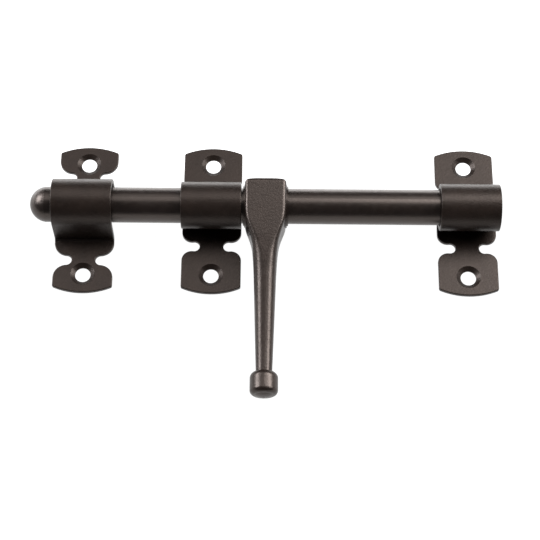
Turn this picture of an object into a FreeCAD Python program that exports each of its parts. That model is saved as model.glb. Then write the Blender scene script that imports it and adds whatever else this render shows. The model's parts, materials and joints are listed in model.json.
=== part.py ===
"""Toggle bolt latch: a round sliding bolt in two looped guides and a keeper, with a cast lever handle.

Millimetres, +Z up and away from the door, mounting faces on Z = 0, rod along X.
The origin is the centre of the inner guide's mounting face. The keeper is on the -X side.
"""
import FreeCAD, Part
import math
import os

Vec = FreeCAD.Vector

# ---- driving dimensions ----
rod_dia = 12.0
rod_length = 160.0
rod_dome = 5.3             # length of each rounded end
rod_axis_z = 11.5          # rod axis above the mounting face

sheet = 1.5                # thickness of all three brackets
bracket_width = 20.4
bracket_height = 56.2      # tip to tip of the two ears
ear_rise = 2.2             # how far the ear's end arches above its corners
ear_corner_r = 0.8
neck_width = 8.1           # metal left between the two side notches
notch_r = 1.9
edge_r = 0.3               # broken sheet edge

hole_pitch = 42.6          # the two screw holes of one bracket
hole_dia = 5.3
sink_dia = 8.3
sink_depth = 1.1

loop_r = 6.5               # inside radius of a guide's loop
loop_lift = 0.25           # loop centre above the rod axis, as the rod lies on the bore's floor
loop_gap = 1.0             # slit between the two sheets under the loop
guide_notch_y = 10.4
guide_shoulder_r = 3.5     # convex corner between a notch and the side edge

keeper_r = 6.9             # inside radius of the keeper's arch
keeper_lift = 0.8
keeper_bend_r = 0.9        # inside radius of the foot bend
keeper_notch_y = 16.0
keeper_shoulder_r = 4.6

tip_to_keeper = 18.05      # centre distances from the rod's leading tip
tip_to_inner_guide = 61.8
tip_to_hub = 80.3

hub_bore = 12.1
hub_back_r = 7.4           # round back of the hub, about the rod axis
hub_front = 8.0            # flat face in front of the rod axis
hub_corner_r = 1.6         # upper front corner
hub_top = 8.0              # upper end of the hub's front part, from the rod axis
hub_top_rise = 1.0         # arch of the hub's upper edge, seen from the front
hub_side_r = 1.6           # upper left and right corners, seen from the front
hub_half = 7.25            # half length of the round barrel on the rod
hub_wall = 7.07            # half width of the hub's front part
collar_r = 6.75            # cast ring at each end of the barrel
collar_length = 0.45
lever_reach = 67.0         # rod axis to the knob's end
knob_r = 4.7
knob_length = 8.6
knob_shoulder = 2.2        # rounding where the knob meets the arm
knob_round = 1.7           # rounding around the knob's end
knob_dome = 0.6            # crown of the knob's end
knob_front = 5.2           # knob centre in front of the rod axis
knob_lean = 9.0            # knob axis, degrees forward of the arm's own direction
rest_tilt = 11.0           # lever turned down from parallel until the knob meets the door

screw_dia = 4.0
screw_length = 3.6
screw_lean = 32.0          # degrees from the lever's direction towards the door
screw_clearance = 0.02
screw_tip_r = 5.2          # the point stops this far from the rod axis
point_dia = 2.4
point_length = 1.0
socket_af = 2.0
socket_depth = 1.6
groove_width = 2.8
groove_depth = 1.0

# ---- derived places ----
half_width = bracket_width / 2
half_height = bracket_height / 2
rod_r = rod_dia / 2
tip_x = -tip_to_inner_guide
keeper_x = tip_x + tip_to_keeper
outer_guide_x = tip_x + rod_length - half_width
hub_x = tip_x + tip_to_hub


def yz(y, z):
    return Vec(0, y, z)


def on_circle(centre, radius, degrees):
    """Point of a circle in the YZ plane, degrees from +Y towards +Z."""
    a = math.radians(degrees)
    return centre + Vec(0, radius * math.cos(a), radius * math.sin(a))


def arc(centre, radius, start, end):
    """Arc in the YZ plane from start to end degrees."""
    middle = (start + end) / 2
    return Part.Arc(*[on_circle(centre, radius, d) for d in (start, middle, end)]).toShape()


def line(a, b):
    return Part.LineSegment(a, b).toShape()


def prism(edges, direction):
    """Closed outline swept straight."""
    wire = Part.Wire(Part.__sortEdges__(edges))
    return Part.Face(wire).extrude(direction)


def block(x0, x1, y0, y1, z0, z1):
    return Part.makeBox(x1 - x0, y1 - y0, z1 - z0, Vec(x0, y0, z0))


def mirror_y(shape):
    return shape.mirror(Vec(0, 0, 0), Vec(0, 1, 0))


def mirror_x(shape):
    return shape.mirror(Vec(0, 0, 0), Vec(1, 0, 0))


# ---- sheet metal brackets ----
def guide_strip():
    """Strip bent into a loop: plate, small bend at the root, loop, and the same back."""
    centre = yz(0, rod_axis_z + loop_lift)
    mid_r = loop_r + sheet / 2
    # The root bend touches the loop from outside and stands half a slit off the middle.
    rise = centre.z - sheet / 2
    near = (loop_gap + sheet) / 2
    b = 2 * (near - rise - mid_r)
    c = near ** 2 + rise ** 2 - mid_r ** 2
    bend = (-b - math.sqrt(b ** 2 - 4 * c)) / 2
    root = yz(near + bend, sheet / 2 + bend)
    turn = math.degrees(math.asin(root.y / (mid_r + bend)))
    end = half_height + 1
    inner, outer = bend - sheet / 2, bend + sheet / 2

    def side(radius_small, z):
        """Right half of one skin, from the plate's end to the loop."""
        return [line(yz(end, z), yz(root.y, z)), arc(root, radius_small, 270, 90 + turn)]

    top, under = side(inner, sheet), side(outer, 0)
    edges = top + under + [mirror_y(e) for e in top + under]
    edges += [arc(centre, loop_r + sheet, turn - 90, 270 - turn)]
    edges += [arc(centre, loop_r, turn - 90, 270 - turn)]
    edges += [line(yz(s * end, 0), yz(s * end, sheet)) for s in (1, -1)]
    return prism(edges, Vec(bracket_width, 0, 0))


def keeper_strip():
    """Strip bent into a hat: plate, foot bend, upright leg, half-round arch, and the same back."""
    centre = yz(0, rod_axis_z + keeper_lift)
    outer_r = keeper_r + sheet
    foot = yz(outer_r + keeper_bend_r, sheet + keeper_bend_r)
    end = half_height + 1

    def side(radius_arch, radius_bend, z):
        return [
            line(yz(end, z), yz(foot.y, z)),
            arc(foot, radius_bend, 270, 180),
            line(yz(radius_arch, foot.z), yz(radius_arch, centre.z)),
        ]

    top = side(outer_r, keeper_bend_r, sheet)
    under = side(keeper_r, keeper_bend_r + sheet, 0)
    edges = top + under + [mirror_y(e) for e in top + under]
    edges += [arc(centre, r, 0, 180) for r in (outer_r, keeper_r)]
    edges += [line(yz(s * end, 0), yz(s * end, sheet)) for s in (1, -1)]
    return prism(edges, Vec(bracket_width, 0, 0))


def notch_cutter(notch_y, shoulder_r):
    """Waste beside one notch: round end, tangent to a convex shoulder above and below."""
    notch = Vec(neck_width / 2 + notch_r, notch_y, 0)
    shoulder_x = half_width - shoulder_r
    reach = math.sqrt((notch_r + shoulder_r) ** 2 - (shoulder_x - notch.x) ** 2)
    edges = []
    touch = {}
    for s in (1, -1):
        shoulder = Vec(shoulder_x, notch_y + s * reach, 0)
        towards = (notch - shoulder).normalize()
        touch[s] = shoulder + towards * shoulder_r
        start = shoulder + Vec(shoulder_r, 0, 0)
        middle = shoulder + (towards + Vec(1, 0, 0)).normalize() * shoulder_r
        edges.append(Part.Arc(start, middle, touch[s]).toShape())
        edges.append(line(start, start + Vec(1, 0, 0)))
    deepest = notch - Vec(notch_r, 0, 0)
    edges.append(Part.Arc(touch[1], deepest, touch[-1]).toShape())
    ends = [Vec(half_width + 1, notch_y + s * reach, 0) for s in (1, -1)]
    edges.append(line(*ends))
    return prism(edges, Vec(0, 0, sheet + 2)).translated(Vec(0, 0, -1))


def ear_end_cutter():
    """Waste beyond the arched end of one ear."""
    radius = (half_width ** 2 + ear_rise ** 2) / (2 * ear_rise)
    waste = block(-half_width - 1, half_width + 1, half_height - ear_rise - 2,
                  half_height + 3, -1, sheet + 1)
    disc = Part.makeCylinder(radius, sheet + 4, Vec(0, half_height - radius, -2))
    return waste.cut(disc)


def screw_hole():
    """Straight hole with a countersink open to the front."""
    hole = Part.makeCylinder(hole_dia / 2, sheet + 2, Vec(0, hole_pitch / 2, -1))
    slope = (sink_dia - hole_dia) / 2 / sink_depth
    over = 0.5
    cone = Part.makeCone(hole_dia / 2, sink_dia / 2 + slope * over, sink_depth + over,
                         Vec(0, hole_pitch / 2, sheet - sink_depth))
    return hole.fuse(cone)


def is_ear_corner(edge):
    """Upright edge where an ear's side meets its arched end."""
    box = edge.BoundBox
    upright = box.ZLength > sheet * 0.9 and box.XLength < 0.01 and box.YLength < 0.01
    return upright and abs(edge.CenterOfMass.y) > half_height - ear_rise - 1


def is_sheet_edge(edge):
    """Cut edge of the sheet's outer skin, which the eye sees from the front."""
    box = edge.BoundBox
    flat = box.ZLength < 0.01 and abs(box.ZMax - sheet) < 0.01
    on_side = box.XLength < 0.01 and abs(abs(box.XMax) - half_width) < 0.01
    hole = abs(edge.CenterOfMass.x) < 0.01 and abs(abs(edge.CenterOfMass.y) - hole_pitch / 2) < 0.01
    across = box.XLength > bracket_width * 0.9 and abs(edge.CenterOfMass.y) < half_height / 2
    inside = on_side and box.ZLength > 0.01
    return (flat or inside) and not hole and not across


def bracket(strip, notch_y, shoulder_r):
    plate = strip.translated(Vec(-half_width, 0, 0))
    notch, end, hole = notch_cutter(notch_y, shoulder_r), ear_end_cutter(), screw_hole()
    waste = [notch, mirror_x(notch), end, hole]
    plate = plate.cut(waste + [mirror_y(w) for w in waste])
    plate = plate.makeFillet(ear_corner_r, [e for e in plate.Edges if is_ear_corner(e)])
    return plate.makeFillet(edge_r, [e for e in plate.Edges if is_sheet_edge(e)])


def guide(x):
    return bracket(guide_strip(), guide_notch_y, guide_shoulder_r).translated(Vec(x, 0, 0))


def keeper():
    return bracket(keeper_strip(), keeper_notch_y, keeper_shoulder_r).translated(Vec(keeper_x, 0, 0))


# ---- rod ----
def turned(points_and_arcs):
    """Solid of revolution about the X axis from a closed outline in the XZ plane."""
    wire = Part.Wire(Part.__sortEdges__(points_and_arcs))
    return Part.Face(wire).revolve(Vec(0, 0, 0), Vec(1, 0, 0), 360)


def bolt_rod():
    """Round bar with domed ends and a groove under the hub for the grub screw's point."""
    ball = (rod_r ** 2 + rod_dome ** 2) / (2 * rod_dome)
    half = rod_length / 2
    side_x = half - rod_dome

    def dome(s):
        centre = Vec(s * (half - ball), 0, 0)
        a = math.asin(rod_r / ball) / 2
        middle = centre + Vec(s * ball * math.cos(a), 0, ball * math.sin(a))
        return Part.Arc(Vec(s * half, 0, 0), middle, Vec(s * side_x, 0, rod_r)).toShape()

    outline = [dome(1), dome(-1), line(Vec(-half, 0, 0), Vec(half, 0, 0)),
               line(Vec(-side_x, 0, rod_r), Vec(side_x, 0, rod_r))]
    rod = turned(outline).translated(Vec(tip_x + half, 0, rod_axis_z))
    ring_at = Vec(hub_x - groove_width / 2, 0, rod_axis_z)
    along = Vec(1, 0, 0)
    ring = Part.makeCylinder(rod_r + 1, groove_width, ring_at, along)
    core = Part.makeCylinder(rod_r - groove_depth, groove_width, ring_at, along)
    return rod.cut(ring.cut(core))


# ---- lever handle: X across, Y along the lever (knob at -Y), Z in front, origin on the rod axis ----
# Places along the lever from the hub to inside the knob: place, half width at the front and at the
# back, depth of the front and of the back, rounding of the front corners and of the back corners.
lever_places = [
    (hub_top, 7.0, 7.1, 8.0, -3.0, 1.3, 0.3),
    (-2.0, 7.0, 7.1, 8.0, -3.0, 1.3, 0.3),
    (-5.0, 6.77, 7.08, 8.0, -3.7, 1.35, 0.6),
    (-8.2, 6.00, 6.70, 8.0, -4.3, 1.5, 0.8),
    (-11.2, 5.05, 5.55, 8.0, -4.3, 1.9, 0.9),
    (-14.4, 4.35, 4.65, 7.95, -4.05, 2.5, 1.0),
    (-18.0, 4.00, 4.22, 7.9, -3.6, 3.1, 1.2),
    (-24.0, 3.72, 3.90, 7.7, -2.8, 3.4, 1.5),
    (-36.0, 3.36, 3.50, 7.5, -0.95, 3.15, 1.7),
    (-48.0, 3.00, 3.11, 7.6, 1.2, 2.82, 1.8),
    (-60.0, 2.64, 2.70, 8.15, 3.4, 2.45, 1.9),
]
section_step = 2.0         # spacing of the lever's sections


def row_at(rows, y):
    """Row between the given ones, each value following a monotone cubic."""
    k = max(i for i in range(len(rows) - 1) if y <= rows[i][0])
    span = rows[k + 1][0] - rows[k][0]
    t = (y - rows[k][0]) / span

    def slope(i, column):
        return (rows[i + 1][column] - rows[i][column]) / (rows[i + 1][0] - rows[i][0])

    def tangent(i, column):
        if i == 0 or i == len(rows) - 1:
            return slope(min(i, len(rows) - 2), column)
        before, after = slope(i - 1, column), slope(i, column)
        return 0 if before * after <= 0 else 2 * before * after / (before + after)

    def value(column):
        start, end = rows[k][column], rows[k + 1][column]
        bend = (1 - t) * tangent(k, column) * span - t * tangent(k + 1, column) * span
        blend = t * t * (3 - 2 * t)
        return start + (end - start) * blend + t * (1 - t) * bend

    return (y, *[value(c) for c in range(1, len(rows[0]))])


def lever_rows():
    """Rows of all the lever's sections, evenly spaced so that the loft stays smooth."""
    top = lever_places[0][0]
    length = top - lever_places[-1][0]
    steps = round(length / section_step)
    return [row_at(lever_places, top - length * i / steps) for i in range(steps + 1)]


def lever_section(y, front_half, back_half, front, back, front_r, back_r):
    """Rounded trapezoid across the lever, wider at the back."""
    slope = (back_half - front_half) / (front - back)
    draft = math.atan(slope)
    outward = Vec(math.cos(draft), 0, math.sin(draft))

    def wall(z):
        return front_half + (front - z) * slope

    def corner(flat_z, centre_z, radius, pole):
        """Arc tangent to the drafted wall and to the flat at flat_z, and the flat's end."""
        touch_z = centre_z + radius * outward.z
        centre = Vec(wall(touch_z) - radius * outward.x, y, centre_z)
        touch = centre + outward * radius
        flat_end = Vec(centre.x, y, flat_z)
        middle = centre + (outward + pole).normalize() * radius
        return Part.Arc(flat_end, middle, touch).toShape(), flat_end, touch

    front_arc, front_end, front_touch = corner(front, front - front_r, front_r, Vec(0, 0, 1))
    back_arc, back_end, back_touch = corner(back, back + back_r, back_r, Vec(0, 0, -1))
    right = [front_arc, line(front_touch, back_touch), back_arc]
    edges = right + [mirror_x(e) for e in right]
    for end in (front_end, back_end):
        edges.append(line(end, Vec(-end.x, end.y, end.z)))
    return Part.Wire(Part.__sortEdges__(edges))


def hub_top_waste():
    """What the hub's rounded upper front edge, arched top and round upper corners leave out."""
    wide, above = hub_half + 2, hub_top + 2
    y, z = hub_top - hub_corner_r, hub_front - hub_corner_r
    edge = block(-wide, wide, y, above, z, z + 4)
    edge = edge.cut(Part.makeCylinder(hub_corner_r, 2 * wide, Vec(-wide, y, z), Vec(1, 0, 0)))

    arch_r = (hub_half ** 2 + hub_top_rise ** 2) / (2 * hub_top_rise)
    arch = Vec(0, hub_top - arch_r, 0)
    corner_x = hub_wall - hub_side_r
    corner = Vec(corner_x, arch.y + math.sqrt((arch_r - hub_side_r) ** 2 - corner_x ** 2), 0)
    out = (corner - arch).normalize()
    start = corner + Vec(hub_side_r, 0, 0)
    middle = corner + (out + Vec(1, 0, 0)).normalize() * hub_side_r
    touch = arch + out * arch_r
    right = [Part.Arc(start, middle, touch).toShape(), line(start, Vec(wide, start.y, 0)),
             line(Vec(wide, start.y, 0), Vec(wide, above, 0))]
    edges = right + [mirror_x(e) for e in right]
    edges.append(Part.Arc(touch, Vec(0, hub_top, 0), Vec(-touch.x, touch.y, 0)).toShape())
    edges.append(line(Vec(wide, above, 0), Vec(-wide, above, 0)))
    top = prism(edges, Vec(0, 0, hub_front + 8)).translated(Vec(0, 0, -4))
    return [edge, top]


def along_rod(radius, half_length):
    return Part.makeCylinder(radius, 2 * half_length, Vec(-half_length, 0, 0), Vec(1, 0, 0))


def knob():
    """Barrel knob, with a shallow dome on its end and rounded rims."""
    half = knob_length / 2
    face_r = knob_r - knob_round
    ball = (face_r ** 2 + knob_dome ** 2) / (2 * knob_dome)
    rim_y = -half + knob_dome + knob_round
    neck_y = half - knob_shoulder

    def rim(y, radius, s):
        """Quarter round from the barrel's side to an end face."""
        inner, swing = knob_r - radius, math.sqrt(0.5) * radius
        return Part.Arc(Vec(knob_r, y, 0), Vec(inner + swing, y + s * swing, 0),
                        Vec(inner, y + s * radius, 0)).toShape()

    dome_middle = math.asin(face_r / ball) / 2
    dome = Part.Arc(Vec(face_r, rim_y - knob_round, 0),
                    Vec(ball * math.sin(dome_middle), -half + ball * (1 - math.cos(dome_middle)), 0),
                    Vec(0, -half, 0)).toShape()
    outline = [rim(neck_y, knob_shoulder, 1), line(Vec(knob_r, neck_y, 0), Vec(knob_r, rim_y, 0)),
               rim(rim_y, knob_round, -1), dome, line(Vec(0, -half, 0), Vec(0, half, 0)),
               line(Vec(0, half, 0), Vec(knob_r - knob_shoulder, half, 0))]
    wire = Part.Wire(Part.__sortEdges__(outline))
    body = Part.Face(wire).revolve(Vec(0, 0, 0), Vec(0, 1, 0), 360)
    body = body.rotated(Vec(0, 0, 0), Vec(1, 0, 0), -knob_lean)
    return body.translated(Vec(0, half - lever_reach, knob_front))


def on_screw_line(radius, near, far):
    """Cylinder on the grub screw's line, between two distances from the rod axis."""
    bar = Part.makeCylinder(radius, far - near, Vec(0, -near, 0), Vec(0, -1, 0))
    return bar.rotated(Vec(0, 0, 0), Vec(1, 0, 0), screw_lean)


def at_rest(shape):
    """From the lever's own frame to its place on the rod, with the knob down at the door."""
    shape = shape.rotated(Vec(0, 0, 0), Vec(1, 0, 0), rest_tilt)
    return shape.translated(Vec(hub_x, 0, rod_axis_z))


def handle():
    """One casting: barrel on the rod, flat-fronted hub, tapering arm and knob."""
    body = Part.makeLoft([lever_section(*row) for row in lever_rows()], True, False)
    for waste in hub_top_waste():
        body = body.cut(waste)
    for piece in (along_rod(hub_back_r, hub_half), along_rod(collar_r, hub_half + collar_length), knob()):
        body = body.fuse(piece)
    for waste in (along_rod(hub_bore / 2, 2 * hub_half),
                  on_screw_line(screw_dia / 2 + screw_clearance, 0, 3 * rod_r)):
        body = body.cut(waste)
    return at_rest(body.removeSplitter())


def grub_screw():
    """Hex-socket set screw; its point runs in the rod's groove and keeps the hub from sliding."""
    thread_start = screw_tip_r + point_length
    end = thread_start + screw_length
    body = on_screw_line(screw_dia / 2, thread_start, end)
    body = body.fuse(on_screw_line(point_dia / 2, screw_tip_r, end))
    corner_r = socket_af / math.sqrt(3)
    corners = [Vec(corner_r * math.cos(k * math.pi / 3), -end + socket_depth,
                   corner_r * math.sin(k * math.pi / 3)) for k in range(7)]
    socket = Part.Face(Part.makePolygon(corners)).extrude(Vec(0, -socket_depth - 1, 0))
    socket = socket.rotated(Vec(0, 0, 0), Vec(1, 0, 0), screw_lean)
    return at_rest(body.cut(socket))


NODES = {
    "keeper": keeper,
    "inner_guide": lambda: guide(0),
    "outer_guide": lambda: guide(outer_guide_x),
    "bolt_rod": bolt_rod,
    "handle": handle,
    "grub_screw": grub_screw,
}

os.makedirs("parts", exist_ok=True)
for name, make in NODES.items():
    shape = make()
    if shape.ShapeType == "Compound" and len(shape.Solids) == 1:
        shape = shape.Solids[0]
    shape.exportStep(f"parts/{name}.step")
    box = shape.BoundBox
    sizes = f"{box.XLength:.2f} x {box.YLength:.2f} x {box.ZLength:.2f} mm from z {box.ZMin:.2f}"
    print(f"{name}: valid {shape.isValid()}, {len(shape.Solids)} solid, {shape.Volume:.0f} mm3, {sizes}")
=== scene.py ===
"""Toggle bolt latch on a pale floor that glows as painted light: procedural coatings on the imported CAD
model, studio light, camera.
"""
import json
import math
import bpy
from mathutils import Euler, Matrix, Vector


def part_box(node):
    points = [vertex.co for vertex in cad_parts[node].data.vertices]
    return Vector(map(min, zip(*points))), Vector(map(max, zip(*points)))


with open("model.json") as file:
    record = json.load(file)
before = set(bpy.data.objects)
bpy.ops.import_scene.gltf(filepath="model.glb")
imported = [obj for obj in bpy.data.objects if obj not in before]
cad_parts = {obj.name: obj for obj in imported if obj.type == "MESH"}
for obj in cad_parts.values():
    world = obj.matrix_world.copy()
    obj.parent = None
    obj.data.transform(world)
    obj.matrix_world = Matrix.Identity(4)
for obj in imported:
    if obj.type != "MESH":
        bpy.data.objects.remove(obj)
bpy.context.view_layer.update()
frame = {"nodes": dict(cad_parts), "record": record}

MM = 0.001

# ---- where things are, from the frame ----
rod_low, rod_high = (Vector(corner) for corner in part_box("bolt_rod"))
rod_middle = (rod_low + rod_high) / 2


# ---- camera ----
def add_camera():
    elevation, roll, distance = math.radians(64.5), math.radians(0.5), 0.56
    target = Vector((rod_middle.x + 2.0 * MM, -18.6 * MM, 0))
    width_seen = 0.185
    camera = bpy.data.cameras.new("camera")
    camera.sensor_width = 36.0
    camera.lens = camera.sensor_width * distance / width_seen
    camera.clip_start, camera.clip_end = 0.01, 20.0
    holder = bpy.data.objects.new("camera", camera)
    turn = Matrix.Rotation(math.pi / 2 - elevation, 4, "X") @ Matrix.Rotation(roll, 4, "Z")
    back = Vector((0, -math.cos(elevation), math.sin(elevation))) * distance
    holder.matrix_world = Matrix.Translation(target + back) @ turn
    bpy.context.scene.collection.objects.link(holder)
    bpy.context.scene.camera = holder
    return target


target = add_camera()


# ---- light: a softbox on each side, a wide one above the back and a small one to its right ----
def softbox(name, azimuth, elevation, width, height, radiance, colour=(1, 1, 1), distance=0.9):
    """Area light that faces the target. Azimuth 0 is behind the latch, positive to the right, in degrees."""
    a, e = math.radians(azimuth), math.radians(elevation)
    away = Vector((math.sin(a) * math.cos(e), math.cos(a) * math.cos(e), math.sin(e)))
    light = bpy.data.lights.new(name, "AREA")
    light.shape = "RECTANGLE"
    light.size, light.size_y = width, height
    light.energy = radiance * width * height * math.pi
    light.color = colour
    holder = bpy.data.objects.new(name, light)
    holder.location = target + away * distance
    holder.rotation_euler = away.to_track_quat("Z", "Y").to_euler()
    bpy.context.scene.collection.objects.link(holder)


softbox("softbox_back", 0, 66, 1.30, 0.70, 1.3)
softbox("softbox_back_right", 38, 62, 0.30, 0.45, 5.5)
softbox("softbox_right", 68, 40, 0.60, 0.42, 13.5)
softbox("softbox_left", -70, 33, 0.55, 0.42, 13.5, colour=(0.95, 0.97, 1.0))

world = bpy.data.worlds.new("studio")
bpy.context.scene.world = world
world.use_nodes = True
background = world.node_tree.nodes["Background"]
background.inputs["Color"].default_value = (0.9, 0.93, 1.0, 1)
background.inputs["Strength"].default_value = 0.08
bpy.context.scene.view_settings.view_transform = "Standard"


# ---- floor ----
def add_floor():
    mesh = bpy.data.meshes.new("floor")
    half, level = 2.5, -0.05 * MM
    corners = [(-half, -half, level), (half, -half, level), (half, half, level), (-half, half, level)]
    mesh.from_pydata(corners, [], [(0, 1, 2, 3)])
    floor = bpy.data.objects.new("floor", mesh)
    bpy.context.scene.collection.objects.link(floor)
    material = bpy.data.materials.new("glowing_floor")
    material.use_nodes = True
    shader = material.node_tree.nodes["Principled BSDF"]
    # Painted light: the floor's own colour is near black; it looks pale only because it glows.
    shader.inputs["Base Color"].default_value = (0.06, 0.06, 0.06, 1)
    shader.inputs["Roughness"].default_value = 0.9
    shader.inputs["Specular IOR Level"].default_value = 0.1
    shader.inputs["Emission Color"].default_value = (1, 1, 1, 1)
    # Painted light: the floor glows, brighter behind the latch than in front of it, so shadows on it wash
    # out and it throws bright reflections onto the latch.
    nodes, links = material.node_tree.nodes, material.node_tree.links
    place = nodes.new("ShaderNodeTexCoord")
    split = nodes.new("ShaderNodeSeparateXYZ")
    ramp = nodes.new("ShaderNodeMapRange")
    for socket, value in (("From Min", 12 * MM), ("From Max", 45 * MM), ("To Min", 1.0), ("To Max", 3.0)):
        ramp.inputs[socket].default_value = value
    links.new(place.outputs["Object"], split.inputs["Vector"])
    links.new(split.outputs["Y"], ramp.inputs["Value"])
    links.new(ramp.outputs["Result"], shader.inputs["Emission Strength"])
    mesh.materials.append(material)


add_floor()


# ---- materials ----
GLOSS_SPREAD = 0.04        # how far the roughness strays from its middle
PATCH_LIGHTER = 1.7        # the colour's lighter patches, times the darker ones


def coating(name, colour, roughness, specular, grain_mm, grain_depth_mm):
    """Satin baked coating: near-black brown, fine orange peel, slightly uneven gloss."""
    material = bpy.data.materials.new(name)
    material.use_nodes = True
    nodes, links = material.node_tree.nodes, material.node_tree.links
    shader = nodes["Principled BSDF"]
    shader.inputs["Specular Tint"].default_value = (1.0, 0.84, 0.76, 1)
    shader.inputs["Specular IOR Level"].default_value = specular
    place = nodes.new("ShaderNodeTexCoord")

    def noise(scale_mm, detail):
        node = nodes.new("ShaderNodeTexNoise")
        node.inputs["Scale"].default_value = 1 / (scale_mm * MM)
        node.inputs["Detail"].default_value = detail
        links.new(place.outputs["Object"], node.inputs["Vector"])
        return node.outputs["Fac"]

    def mapped(value, low, high):
        node = nodes.new("ShaderNodeMapRange")
        node.inputs["From Min"].default_value = 0.3
        node.inputs["From Max"].default_value = 0.7
        node.inputs["To Min"].default_value = low
        node.inputs["To Max"].default_value = high
        links.new(value, node.inputs["Value"])
        return node.outputs["Result"]

    gloss = mapped(noise(1.6, 4), roughness - GLOSS_SPREAD, roughness + GLOSS_SPREAD)
    links.new(gloss, shader.inputs["Roughness"])
    mix = nodes.new("ShaderNodeMix")
    mix.data_type = "RGBA"
    mix.inputs["A"].default_value = (*colour, 1)
    mix.inputs["B"].default_value = (*[c * PATCH_LIGHTER for c in colour], 1)
    links.new(mapped(noise(5, 3), 0, 1), mix.inputs["Factor"])
    links.new(mix.outputs["Result"], shader.inputs["Base Color"])
    bump = nodes.new("ShaderNodeBump")
    bump.inputs["Strength"].default_value = 1.0
    bump.inputs["Distance"].default_value = grain_depth_mm * MM
    links.new(noise(grain_mm, 3), bump.inputs["Height"])
    links.new(bump.outputs["Normal"], shader.inputs["Normal"])
    return material


FINISHES = {
    "bracket_coating": coating("bracket_coating", (0.0065, 0.0042, 0.0033), 0.38, 0.35, 0.7, 0.05),
    "rod_coating": coating("rod_coating", (0.0040, 0.0025, 0.0020), 0.33, 0.74, 0.8, 0.02),
    "casting_coating": coating("casting_coating", (0.0058, 0.0036, 0.0028), 0.34, 0.56, 0.7, 0.05),
    "screw_steel": coating("screw_steel", (0.02, 0.02, 0.022), 0.3, 0.6, 0.4, 0.004),
}
for part in frame["record"]["subparts"]:
    mesh = frame["nodes"][part["node"]].data
    mesh.materials.clear()
    mesh.materials.append(FINISHES[part["material_slot"]])
